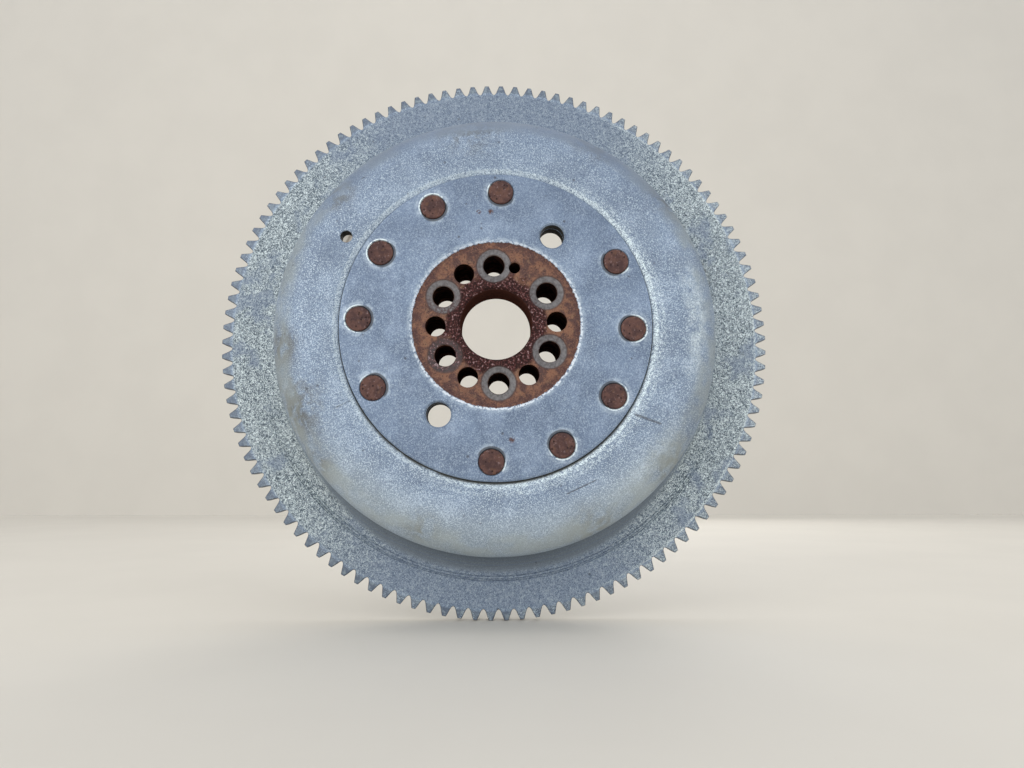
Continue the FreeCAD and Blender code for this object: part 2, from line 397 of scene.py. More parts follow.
def cup_sections():
    """Front and back section points of the cup from the hole in its crown to the toothed rim."""
    shoulder_r = WALL_R - SHOULDER_R
    shoulder_h = CROWN_H - SHOULDER_R
    flange_r = WALL_R + FLANGE_FILLET
    groove_r = PLATE_R + 0.06
    front = [
        (BOSS_R + 0.3, RECESS_FLOOR_H), (RECESS_R - 3, RECESS_FLOOR_H), (RECESS_R, RECESS_FLOOR_H + 0.4),
        (groove_r, RECESS_FLOOR_H + 0.7), (groove_r, RECESS_LIP_H - 0.95),
        (RECESS_R - 0.08, RECESS_LIP_H - 0.85), (RECESS_R, RECESS_LIP_H - 0.5),
    ]
    front += arc(RECESS_R + 0.6, RECESS_LIP_H - 0.45, 0.6, 180, 108, 3)
    run(front, (RECESS_LIP_R - 0.3, CROWN_H - 0.12, 4), (RECESS_LIP_R + 0.8, CROWN_H, 2))
    run(front, (shoulder_r, CROWN_H, 9))
    front += arc(shoulder_r, shoulder_h, SHOULDER_R, 90, 0, 26)[1:]
    run(front, (WALL_R, FLANGE_FILLET, 4))
    front += arc(flange_r, FLANGE_FILLET, FLANGE_FILLET, 180, 270, 14)[1:]
    for line_r in FORMING_LINES:
        front += [(line_r - 0.35, 0), (line_r, 0), (line_r + 0.35, 0)]
    run(front, (BEVEL_START_R - 0.8, 0, 11))
    inner_r = CUP_INNER_R - CUP_INNER_FILLET
    inner_h = CUP_INNER_H - CUP_INNER_FILLET
    back = [(BEVEL_START_R - 1, FLANGE_BACK_H)]
    run(back, (CUP_INNER_R + 1.2, FLANGE_BACK_H, 12), (CUP_INNER_R, FLANGE_BACK_H + 1, 2))
    run(back, (CUP_INNER_R, inner_h, 3))
    back += arc(inner_r, inner_h, CUP_INNER_FILLET, 0, 90, 10)[1:]
    run(
        back, (RECESS_LIP_R + 7, CUP_INNER_H, 2), (RECESS_LIP_R + 5.4, CUP_INNER_H - 0.7, 2),
        (RECESS_LIP_R + 2.6, RECESS_BACK_H + 0.7, 2), (RECESS_LIP_R + 1, RECESS_BACK_H, 2),
        (BOSS_R + 0.3, RECESS_BACK_H, 8),
    )
    return front, back


def make_cup():
    """The pressed and coated cup with its teeth, drilled for rivets, puller bolts and the small vent."""
    rim_angles, rim = rim_rings()
    angles = full_turn(CUP_COLUMNS * TEETH, rim_angles[0])
    front, back = cup_sections()
    front_rings = circle_rings(front, angles)
    for ring, (radius, h) in zip(front_rings, front):
        if radius > RECESS_LIP_R:
            on_shoulder = min(1.0, max(0.0, (radius - 86) / 12)) * (1.0 if h > 0.5 else 0.35)
            dent = uneven(ring, 26, 0.28, 1) + uneven(ring, 9, 0.07, 2)
            ring[:, 1] += np.minimum(dent, 0.3) * on_shoulder
        if radius in FORMING_LINES:
            ring[:, 1] += FORMING_DEPTH * np.clip(-2 * np.sin(angles) - 0.3, 0, 1)
    groups = [(front_rings, angles), (rim, rim_angles), (circle_rings(back, angles), angles)]
    cup = torus("cup_with_teeth", groups)
    tools = [(VENT_CIRCLE_R, VENT_ANGLE, hole_tool(VENT_HOLE_R, CROWN_H, CUP_INNER_H - 2, 0.35))]
    for side in range(2):
        tools.append((PULLER_CIRCLE_R, PULLER_START + 180 * side, straight_tool(PULLER_HOLE_R, 36, 22)))
    for place in RIVET_PLACES:
        degrees = RIVET_START + RIVET_STEP * place
        tools.append((RIVET_CIRCLE_R, degrees, straight_tool(RIVET_SHANK_R, 36, 22)))
    cut(cup, [tools], "cup")
    return shade(cup, 34)


# ---- the hub

def make_hub():
    """Plate with a boss and a ragged coating edge round its bare centre, drilled for bolts and rivets."""
    angles = full_turn(HUB_COLUMNS)
    on_circle = [Vector((math.cos(a), math.sin(a), 0)) for a in angles]
    ragged = np.array([
        0.30 * noise.noise(v * 60) + 0.22 * noise.noise(v * 140 + Vector((5, 0, 0))) for v in on_circle
    ])
    section = [
        (REGISTER_R + GAP, SEAT_H), (REGISTER_R, SEAT_H + 0.2), (REGISTER_R, BORE_END_H - 0.4),
        (REGISTER_R - 0.4, BORE_END_H), (BORE_R + 0.3, BORE_END_H), (BORE_R, BORE_END_H + 0.3),
        (BORE_R, CLAMP_FACE_H - 8), (BORE_R, CLAMP_FACE_H - 1.6), (BORE_R + 0.4, CLAMP_FACE_H - 0.7),
        (BORE_R + 1.3, CLAMP_FACE_H),
    ]
    run(section, (CLAMP_FACE_R - 1.6, CLAMP_FACE_H, 14))
    edge = [(-0.35, CLAMP_FACE_H), (-0.1, CLAMP_FACE_H + 0.14), (0.15, PLATE_H - 0.06), (0.45, PLATE_H)]
    section += [(CLAMP_FACE_R + shift + ragged, h) for shift, h in edge]
    plate = [(CLAMP_FACE_R + 1.6, PLATE_H)]
    run(plate, (PLATE_R - 1.1, PLATE_H, 20))
    section += plate[1:]
    section += [(PLATE_R - 0.5, PLATE_H - 0.08), (PLATE_R - 0.12, PLATE_H - 0.3), (PLATE_R, PLATE_H - 0.7)]
    section += [(PLATE_R, RECESS_FLOOR_H + 0.5), (PLATE_R - 0.4, RECESS_FLOOR_H + 0.1)]
    section += [(BOSS_R, RECESS_FLOOR_H + 0.1), (BOSS_R, 26), (BOSS_R, SEAT_H + 0.9)]
    section += [(BOSS_R - 0.25, SEAT_H + 0.25), (BOSS_R - 0.9, SEAT_H)]
    run(section, (REGISTER_R + 0.8, SEAT_H, 8))
    hub = torus("hub_plate_and_boss", [(circle_rings(section, angles), angles)])
    over, under = PLATE_H + 1, SEAT_H - 1
    rings_face = CLAMP_FACE_H - CLAMP_RING_DEPTH
    clamp = [
        (CLAMP_RING_R + 0.2, over), (CLAMP_RING_R + 0.2, CLAMP_FACE_H), (CLAMP_RING_R, rings_face + 0.05),
        (CLAMP_RING_R - 0.15, rings_face),
    ]
    dowel = [
        (DOWEL_HOLE_R + 0.3, over), (DOWEL_HOLE_R + 0.3, rings_face), (DOWEL_HOLE_R, rings_face - 0.3),
        (DOWEL_HOLE_R, under),
    ]
    sunk, drilled = [], []
    for place in range(6):
        degrees = BOLT_START + BOLT_STEP * place
        sunk.append((BOLT_CIRCLE_R, degrees, clamp))
        drilled.append((BOLT_CIRCLE_R, degrees, hole_tool(BOLT_HOLE_R, rings_face, SEAT_H, 0.45)))
    for place in range(5):
        degrees = LIGHT_START + BOLT_STEP * place
        drilled.append((LIGHT_CIRCLE_R, degrees, hole_tool(LIGHT_HOLE_R, CLAMP_FACE_H, SEAT_H, 0.3)))
    for side in range(2):
        degrees = PULLER_START + 180 * side
        sunk.append((PULLER_CIRCLE_R, degrees, hole_tool(PULLER_HOLE_R, PLATE_H, RECESS_FLOOR_H, 0.8)))
    seat_h = PLATE_H - RIVET_SEAT_DEPTH
    seat = [
        (RIVET_HEAD_R + 0.55, over), (RIVET_HEAD_R + 0.5, PLATE_H), (RIVET_HEAD_R + 0.12, PLATE_H - 0.45),
        (RIVET_HEAD_R + 0.1, seat_h), (RIVET_SHANK_R + 0.1, seat_h),
        (RIVET_SHANK_R + 0.1, RECESS_FLOOR_H - 1),
    ]
    sunk.extend((RIVET_CIRCLE_R, RIVET_START + RIVET_STEP * place, seat) for place in RIVET_PLACES)
    cut(hub, [sunk, drilled, [(LIGHT_CIRCLE_R, DOWEL_ANGLE, dowel)]], "hub")
    return shade(hub, 30)


# ---- rivets, cage and sleeve

def make_rivet(number, degrees):
    """One rivet: hammered flat head in the plate, shank, and a formed button behind the cup's sheet."""
    top = PLATE_H + RIVET_PROUD - 0.08
    seat_h = PLATE_H - RIVET_SEAT_DEPTH
    tail = RECESS_BACK_H
    head_r, shank_r, tail_r = RIVET_HEAD_R, RIVET_SHANK_R - GAP, RIVET_TAIL_R
    section = [(r, top - 0.04 * (r / head_r) ** 2) for r in (0.8, 1.8, 2.8, 3.8, 4.8)]
    section += [
        (head_r - 0.75, top - 0.06), (head_r - 0.32, top - 0.16), (head_r - 0.08, top - 0.4),
        (head_r, top - 0.8), (head_r, seat_h + 0.05), (shank_r, seat_h + 0.05), (shank_r, tail - GAP),
        (tail_r - 0.3, tail - GAP), (tail_r, tail - 0.35), (tail_r - 0.15, tail - 0.9),
        (tail_r * 0.9, tail - 1.7), (tail_r * 0.78, tail - 2.4), (tail_r * 0.6, tail - 2.9),
        (tail_r * 0.4, tail - RIVET_TAIL + 0.08), (tail_r * 0.2, tail - RIVET_TAIL),
    ]
    x, z = around(RIVET_CIRCLE_R, degrees)
    vertices, faces = spindle(x, z, section, RIVET_COLUMNS, turn=number * 0.7)
    vertices = np.array(vertices)
    front = vertices[:, 1] < SEAT_H - top + 1
    back = vertices[:, 1] > SEAT_H - tail + 0.3
    rough = uneven(vertices, 2.2, 0.10, number + 3) + uneven(vertices, 0.9, 0.05, number + 20)
    vertices[front, 1] += np.maximum(rough[front], -0.06)
    vertices[back, 1] += rough[back]
    return shade(mesh_object(f"rivet_steel_{number:02d}", vertices, faces), 40)


def from_gap(angles):
    """Degrees from the nearest gap between magnets."""
    return np.abs((angles * MAGNETS / (2 * math.pi) + 0.5) % 1 - 0.5) * 360 / MAGNETS


def make_cage():
    """End ring of the moulded cage, with a small ejector pad over each gap between magnets."""
    angles = full_turn(CAGE_COLUMNS)
    pad = np.clip((2.6 - from_gap(angles)) / 0.5, 0, 1) * 0.35
    front_h = MAGNET_BACK_H - 0.1
    back_h = MAGNET_BACK_H - CAGE_RING - 0.12
    inner, outer = MAGNET_INNER_R + GAP, CUP_INNER_R - GAP
    section = [
        (inner, front_h), (outer, front_h), (outer, back_h + 0.3), (CUP_INNER_R - 0.35, back_h),
        (CUP_INNER_R - 0.8, back_h - pad), (SLEEVE_LIP_R + 1.0, back_h - pad),
        (SLEEVE_LIP_R + 0.6, back_h + GAP), (inner, back_h + GAP),
    ]
    return shade(torus("magnet_cage_ring", [(circle_rings(section, angles), angles)]), 30)


def make_sleeve():
    """Thin rolled sleeve, drawn in a little between the magnets, with its back edge turned outward."""
    angles = full_turn(SLEEVE_COLUMNS)
    inner = SLEEVE_INNER_R + GAP + 0.28 * np.exp(-(from_gap(angles) / 1.1) ** 2)
    outer = MAGNET_INNER_R - GAP
    front_h = MAGNET_FRONT_H + CAGE_RING
    back_h = MAGNET_BACK_H - CAGE_RING
    lip_h = back_h - SLEEVE_LIP
    section = [
        (inner + 0.25, front_h), (outer, front_h - 0.2), (outer, back_h - 0.05),
        (SLEEVE_LIP_R - 0.1, back_h - 0.05), (SLEEVE_LIP_R, back_h - 0.3),
        (SLEEVE_LIP_R - 0.15, lip_h + 0.05), (SLEEVE_LIP_R - 0.6, lip_h),
        (MAGNET_INNER_R + 0.9, lip_h), (MAGNET_INNER_R + 0.3, lip_h + 0.1), (inner + 0.1, lip_h + 0.5),
        (inner, lip_h + 1.0),
    ]
    section += [(inner, h) for h in np.linspace(lip_h + 3, front_h - 0.3, 6)]
    sleeve = torus("magnet_sleeve_rolled", [(circle_rings(section[::-1], angles), angles)])
    sleeve.data.flip_normals()
    return shade(sleeve, 40)


# ---- shader helpers

class Shader:
    """Short calls that add nodes to one material."""

    def __init__(self, name):
        self.material = bpy.data.materials.new(name)
        self.material.use_nodes = True
        self.tree = self.material.node_tree
        self.surface = self.tree.nodes["Principled BSDF"]
        self.place = self.node("ShaderNodeTexCoord").outputs["Object"]

    def node(self, kind, inputs=None, **settings):
        """New node with named inputs and settings."""
        made = self.tree.nodes.new(kind)
        for key, value in settings.items():
            setattr(made, key, value)
        for name, value in (inputs or {}).items():
            self.put(made.inputs[name], value)
        return made

    def put(self, socket, value):
        """Links a socket, or sets a constant on it."""
        if isinstance(value, bpy.types.NodeSocket):
            self.tree.links.new(value, socket)
        elif socket.type == "RGBA" and len(value) == 3:
            socket.default_value = (*value, 1)
        else:
            socket.default_value = value

    def math(self, operation, *values, clamp=False):
        made = self.node("ShaderNodeMath", operation=operation, use_clamp=clamp)
        for socket, value in zip(made.inputs, values):
            self.put(socket, value)
        return made.outputs[0]

    def add(self, first, second):
        return self.math("ADD", first, second)

    def less(self, first, second):
        return self.math("SUBTRACT", first, second)

    def length(self, first, second):
        return self.math("SQRT", self.add(self.both(first, first), self.both(second, second)))

    def vector(self, operation, *values, output=0):
        made = self.node("ShaderNodeVectorMath", operation=operation)
        for socket, value in zip(made.inputs, values):
            self.put(socket, value)
        return made.outputs[output]

    def split(self, vector):
        """X, Y and Z of a vector."""
        made = self.node("ShaderNodeSeparateXYZ")
        self.put(made.inputs[0], vector)
        return made.outputs[:3]

    def noise(self, size, detail=2.0, roughness=0.5, distortion=0.0, vector=None):
        """Noise whose features are about this many millimetres across."""
        return self.node("ShaderNodeTexNoise", {
            "Vector": vector or self.place, "Scale": 1 / (size * MM), "Detail": detail,
            "Roughness": roughness, "Distortion": distortion,
        }).outputs["Fac"]

    def cells(self, size):
        """Distance from the middle of Voronoi cells of this many millimetres."""
        inputs = {"Vector": self.place, "Scale": 1 / (size * MM)}
        return self.node("ShaderNodeTexVoronoi", inputs, feature="F1").outputs["Distance"]

    def ease(self, value, low, high):
        """0 below low and 1 above high with a smooth step between; turned round if low is above high."""
        falling = low > high
        return self.node("ShaderNodeMapRange", {
            "Value": value, "From Min": min(low, high), "From Max": max(low, high),
            "To Min": int(falling), "To Max": int(not falling),
        }, interpolation_type="SMOOTHSTEP").outputs[0]

    def patches(self, low, high, *noise_settings):
        """Soft-edged patches where a noise is over low to high."""
        return self.ease(self.noise(*noise_settings), low, high)

    def band(self, value, low, high, soft):
        """1 between two values, falling to 0 on both sides."""
        return self.both(self.ease(value, low - soft, low + soft), self.ease(value, high + soft, high - soft))

    def scale(self, value, factor, offset=0.0):
        return self.math("MULTIPLY_ADD", value, factor, offset)

    def both(self, *values):
        result = values[0]
        for value in values[1:]:
            result = self.math("MULTIPLY", result, value)
        return result

    def either(self, *values):
        result = values[0]
        for value in values[1:]:
            result = self.math("MAXIMUM", result, value)
        return result

    def mixed(self, kind, values, **settings):
        """Mix node for values of one kind, Color or Float."""
        made = self.node("ShaderNodeMix", **settings)
        for name, value in zip(("Factor_Float", "A_" + kind, "B_" + kind), values):
            self.put(next(s for s in made.inputs if s.identifier == name), value)
        return next(s for s in made.outputs if s.identifier == "Result_" + kind)

    def mix(self, share, first, second, blend="MIX"):
        """Mix of two colours."""
        return self.mixed("Color", (share, first, second), data_type="RGBA", blend_type=blend)

    def blend(self, share, first, second):
        """Mix of two numbers."""
        return self.mixed("Float", (share, first, second), data_type="FLOAT")

    def over(self, color, tint, *shares):
        """A tint laid over a colour as far as all the shares together allow."""
        return self.mix(self.both(*shares), color, tint)

    def bump(self, height, depth):
        """Normal for a height from 0 to 1 that stands for this many millimetres."""
        inputs = {"Strength": 1.0, "Distance": depth * MM, "Height": height}
        return self.node("ShaderNodeBump", inputs).outputs[0]

    def facing(self, normal="Normal"):
        """1 where the surface faces along the wheel's axis, 0 where it is parallel to it."""
        return self.math("ABSOLUTE", self.split(self.node("ShaderNodeNewGeometry").outputs[normal])[1])

    def by_radius(self, radius):
        """Vector for a noise that changes with the radius only."""
        made = self.node("ShaderNodeCombineXYZ")
        self.put(made.inputs[0], self.scale(radius, MM))
        return made.outputs[0]

    @cached_property
    def xyz(self):
        return self.split(self.place)

    @cached_property
    def radius_and_h(self):
        """Radius about the wheel's axis and h, in millimetres."""
        x, y, z = self.xyz
        return self.scale(self.length(x, z), 1 / MM), self.scale(y, -1 / MM, SEAT_H)

    @cached_property
    def degrees(self):
        """Angle about the wheel's axis."""
        x, _, z = self.xyz
        return self.scale(self.math("ARCTAN2", z, x), 180 / math.pi)

    def spot(self, circle_r, degrees, h, inner, outer):
        """1 within inner millimetres of a point, 0 beyond outer."""
        x, z = around(circle_r, degrees)
        point = (x * MM, (SEAT_H - h) * MM, z * MM)
        distance = self.vector("DISTANCE", self.place, point, output=1)
        return self.ease(distance, outer * MM, inner * MM)

    def spots(self, places):
        return self.either(*(self.spot(*place) for place in places))

    def stroke(self, start, end, h, width):
        """1 along a straight mark between two points given as radius and angle, 0 beyond its width."""
        (x0, z0), (x1, z1) = around(*start), around(*end)
        origin = Vector((x0, SEAT_H - h, z0)) * MM
        run = Vector((x1 - x0, 0, z1 - z0)) * MM
        away = self.vector("SUBTRACT", self.place, tuple(origin))
        along = self.vector("DOT_PRODUCT", away, tuple(run), output=1)
        share = self.math("DIVIDE", along, run.length_squared, clamp=True)
        nearest = self.node("ShaderNodeVectorMath", operation="SCALE")
        nearest.inputs[0].default_value = tuple(run)
        self.put(nearest.inputs["Scale"], share)
        distance = self.vector("DISTANCE", away, nearest.outputs[0], output=1)
        return self.ease(distance, width * MM, width * 0.25 * MM)

    def finish(self, color, roughness, normal, metallic=None):
        self.put(self.surface.inputs["Base Color"], color)
        self.put(self.surface.inputs["Roughness"], roughness)
        self.put(self.surface.inputs["Normal"], normal)
        if metallic is not None:
            self.put(self.surface.inputs["Metallic"], metallic)
        return self.material

    def dull(self, share):
        """Takes the gloss away where the share is 1."""
        self.put(self.surface.inputs["Specular IOR Level"], self.scale(share, -0.5, 0.5))


# ---- materials

COAT_DEPTH = 0.28

ZINC_DARK = (0.135, 0.18, 0.255)
ZINC = (0.235, 0.31, 0.42)
ZINC_LIGHT = (0.345, 0.43, 0.55)
ZINC_PALE = (0.56, 0.65, 0.72)
ZINC_WHITE = (0.72, 0.8, 0.8)
ZINC_BRIGHT = (0.82, 0.93, 0.95)
ZINC_BURR = (0.78, 0.84, 0.89)
ZINC_GREEN = (0.27, 0.32, 0.34)
ZINC_OLIVE = (0.33, 0.365, 0.35)
PLATE_TINT = (0.8, 0.82, 0.86)
# Flange colours: FLANGE_DARK and FLANGE_GREY at its sides, FLANGE_BLUE_DARK and FLANGE_BLUE above and below, as
# painted lit and unlit copies of one coat.
FLANGE_DARK = (0.046, 0.068, 0.086)
FLANGE_GREY = (0.255, 0.305, 0.335)
FLANGE_BLUE_DARK = (0.105, 0.145, 0.21)
FLANGE_BLUE = (0.19, 0.24, 0.315)
TOOTH_GREY = (0.104, 0.132, 0.18)
TOOTH_SIDE_SHADE = (0.05, 0.056, 0.066)

DIRT = (0.12, 0.112, 0.084)
GUTTER_DIRT_AND_SHADE = (0.085, 0.08, 0.062)
GROOVE_DIRT = (0.235, 0.225, 0.17)
FILLET_GRIME_AND_SHADE = (0.085, 0.1, 0.125)
FOOT_GRIME = (0.06, 0.066, 0.06)
RUB_GREY = (0.095, 0.1, 0.1)
PIT_GREY = (0.05, 0.05, 0.06)
SPECK_GREY = (0.06, 0.06, 0.07)
SCRATCH_GREY = (0.06, 0.06, 0.065)
RIVET_SHADE = (0.05, 0.054, 0.06)
HOLE_SHADE = (0.018, 0.017, 0.016)
PULLER_SHADE = (0.02, 0.02, 0.02)

RUST_ORANGE = (0.232, 0.116, 0.066)
RUST_BROWN = (0.088, 0.041, 0.034)
RUST_DARK = (0.03, 0.014, 0.013)
RUST_PALE = (0.36, 0.28, 0.29)
RUST_TAN = (0.24, 0.15, 0.085)
RUST_LIGHT = (0.3, 0.17, 0.1)
RUST_EDGE = (0.078, 0.03, 0.026)
RUST_TINT = (0.9, 0.8, 0.78)
PIT_BROWN = (0.11, 0.04, 0.038)
BORE_SHADE = (0.01, 0.007, 0.006)
BORE_BROWN = (0.036, 0.014, 0.01)
BORE_EDGE = (0.08, 0.03, 0.022)
STEEL_GREY = (0.19, 0.18, 0.18)
STEEL_DARK = (0.12, 0.112, 0.112)
RING_WORN = (0.07, 0.035, 0.035)
RING_EDGE = (0.055, 0.032, 0.03)
RIVET_DARK = (0.07, 0.036, 0.034)
RIVET_BROWN = (0.125, 0.062, 0.05)
RIVET_TAN = (0.17, 0.085, 0.05)

MAGNET_DARK = (0.035, 0.035, 0.038)
MAGNET_GREY = (0.085, 0.082, 0.08)
PLASTIC_BLACK = (0.018, 0.018, 0.02)
PLASTIC_DUST = (0.085, 0.078, 0.066)
SLEEVE_DARK = (0.4, 0.39, 0.37)
SLEEVE_LIGHT = (0.6, 0.59, 0.57)
SLEEVE_STAIN = (0.2, 0.135, 0.085)

# Soft spots: circle radius, angle, h, and the radii within which a spot is full and beyond which it is gone.
STAINS = (
    (106, 98, 30, 2, 26), (107, 203, 30, 2, 26), (108, 218, 28, 1, 15), (105, 186, 32, 2, 15),
    (110, 38, 26, 2, 20), (109, 296, 27, 2, 22), (116, 17, 12, 1, 16), (108, 62, 29, 2, 18),
    (104, 250, 32, 1, 14), (104, 140, 32, 2, 14), (108, 322, 28, 2, 20),
)
FOOT_SPOTS = ((119, 18, 2, 1, 12), (119, 33, 2, 1, 10))
# Painted highlights where the crown rounds into the shoulder, to the right and lower right.
SHOULDER_HIGHLIGHT_RIGHT = (100, 2, 33, 6, 42)
SHOULDER_HIGHLIGHT_LOW = (101, 318, 33, 6, 36)
VENT_HALO = (VENT_CIRCLE_R + 3, VENT_ANGLE + 6, CROWN_H, 2, 12)
CHIPS = ((57, 277.6, PLATE_H, 0.5, 2.2), (57.5, 99, PLATE_H, 0.4, 1.7), (57, 93, PLATE_H, 0.4, 2.0))
WORST_RING = (BOLT_CIRCLE_R, BOLT_START + 120, CLAMP_FACE_H, 8.6, 9.6)

# Scratches: start and end as radius and angle, h, and width.
SCRATCHES = (
    ((78.5, 208.6), (88, 208.2), 38, 0.5), ((80.9, 326.7), (93, 328.5), 38, 0.9),
    ((95.6, 92.7), (100.2, 92.2), 36.5, 0.55), ((101.3, 132.1), (100.4, 130.1), 36, 0.5),
    ((88.9, 292.5), (89.6, 302.6), 38, 0.5), ((103, 140), (103.1, 142.3), 35.5, 0.35),
)


def zinc_ground(s, clouds, grain, contrast):
    """Mottled zinc colour: faint broad clouds with dark and pale crystals over them."""
    color = s.mix(s.patches(0.34, 0.66, clouds, 4, 0.6, 0.5), s.mix(0.35, ZINC_DARK, ZINC), ZINC)
    color = s.over(color, ZINC_LIGHT, s.patches(0.46, 0.72, clouds * 0.5, 4, 0.62), 0.7)
    speck = s.noise(grain, 2, 0.6)
    color = s.over(color, ZINC_DARK, s.ease(speck, 0.49, 0.36), contrast)
    color = s.over(color, ZINC_PALE, s.ease(speck, 0.51, 0.66), contrast)
    return color, speck


def flange_color_with_side_glints(s, at_side, pattern):
    """Coarse dark and white crystals on the flange, with painted glints: greyer, whiter and higher in contrast
    at the sides, bluer and quieter above and below.
    """
    at_side = s.both(at_side, s.scale(s.patches(0.52, 0.66, 17, 3, 0.6), -0.8, 1.0))
    dark = s.mix(at_side, FLANGE_BLUE_DARK, FLANGE_DARK)
    middle = s.mix(at_side, FLANGE_BLUE, FLANGE_GREY)
    color = s.mix(s.ease(pattern, 0.438, 0.482), dark, middle)
    return s.over(color, ZINC_WHITE, s.ease(pattern, 0.515, 0.565), s.blend(at_side, 0.28, 1.0))


def lip_highlight_dirt_and_shade(s, color, lip, pattern, downward):
    """Bright lip of the recess with painted highlight on it and painted glints beside it, most of them to the
    lower right, and dirt round the plate with painted shadow below its edge.
    """
    radius, h = s.radius_and_h
    x, _, z = s.xyz
    # Painted highlight: the lip and the flecks beside it are brighter to the lower right.
    to_right = s.ease(s.add(s.scale(x, 1 / MM), s.scale(z, -0.4 / MM)), -40, 70)
    shine = s.both(lip, s.ease(pattern, 0.455, 0.535), s.scale(to_right, 0.48, 0.50))
    beside = s.band(radius, 80.0, 83.5, 1.2)
    flecks = s.both(beside, s.ease(pattern, 0.53, 0.58), s.scale(to_right, 0.75, 0.15))
    color = s.over(color, ZINC_BRIGHT, s.either(shine, flecks))
    # Dirt in the gutter round the plate, with painted shadow: it shows only below the plate.
    gutter = s.band(radius, 76.5, 77.9, 0.5)
    color = s.over(color, GUTTER_DIRT_AND_SHADE, gutter, s.ease(downward, 0.15, 0.7), s.patches(0.3, 0.5, 8, 2), 0.75)
    return s.over(color, GROOVE_DIRT, s.ease(radius, 77.35, 77.1), s.ease(h, 34.0, 35.0), 0.85)


def tooth_color(s, x, fine, pattern):
    """Duller zinc on the teeth, with painted glints as more white flecks to the right and painted shade to the
    left.
    """
    color = s.mix(s.patches(0.42, 0.70, 2.0, 3, 0.65), TOOTH_GREY, ZINC_GREEN)
    color = s.over(color, ZINC_PALE, s.ease(fine, 0.54, 0.64), s.patches(0.45, 0.6, 14, 2))
    # Painted glints on the right-hand teeth and painted shade on the left-hand ones.
    color = s.over(color, ZINC_WHITE, s.ease(pattern, 0.50, 0.57), s.ease(x, 0.02, 0.09), 0.7)
    return s.over(color, TOOTH_GREY, s.ease(x, -0.04, -0.12), 0.40)


def fillet_coat(s, color, fillet, lines, downward):
    """Dirt in the fillet between wall and flange, darker towards the bottom as painted shade under the wall,
    thin pressing lines, and dark spots at its foot.
    """
    radius, _ = s.radius_and_h
    color = s.over(color, ZINC_GREEN, fillet, 0.6)
    # Painted shade under the wall at the bottom of the fillet, with dirt patches all round.
    grime_and_shade = s.either(s.ease(downward, 0.25, 0.85), s.both(s.patches(0.5, 0.65, 26, 2), 0.5))
    color = s.over(color, FILLET_GRIME_AND_SHADE, fillet, grime_and_shade, 0.55)
    color = s.over(color, ZINC_DARK, fillet, s.ease(lines, 0.50, 0.60), s.ease(downward, -0.1, 0.5), 0.5)
    foot = s.both(s.band(radius, 115, 123, 2), s.spots(FOOT_SPOTS))
    return s.over(color, FOOT_GRIME, foot, s.patches(0.35, 0.6, 3, 3), 0.8)


def shoulder_coat(s, color, downward):
    """Olive film, painted shade on the top of the shoulder and crown, painted reflected light on the bottom,
    and rubbed lines on the shoulder.
    """
    radius, h = s.radius_and_h
    shoulder = s.both(s.band(radius, 102, WALL_R, 3), s.ease(h, 9, 18))
    color = s.over(color, ZINC_OLIVE, shoulder, s.patches(0.34, 0.60, 14, 3), 0.55)
    # Painted shade on the top of the shoulder and, more faintly, of the crown.
    above = s.ease(downward, -0.3, -0.9)
    color = s.over(color, ZINC_DARK, s.ease(radius, 98, 106), above, s.ease(h, 6, 12), 0.72)
    color = s.over(color, ZINC_DARK, s.ease(radius, 79, 84), above, s.ease(h, 30, 36), 0.18)
    # Painted reflected light on the lower shoulder.
    below = s.ease(downward, 0.35, 0.9)
    color = s.over(color, ZINC_WHITE, s.ease(radius, 84, 100), below, s.ease(h, 9, 18), 0.22)
    wavering = s.add(radius, s.scale(s.noise(25, 2), 6.0))
    rub = s.ease(s.noise(1.3, 2, 0.6, vector=s.by_radius(wavering)), 0.55, 0.66)
    rubbed = s.both(shoulder, rub, s.patches(0.48, 0.6, 11, 2), s.ease(downward, -0.2, 0.5))
    return s.over(color, RUB_GREY, rubbed, 0.5)


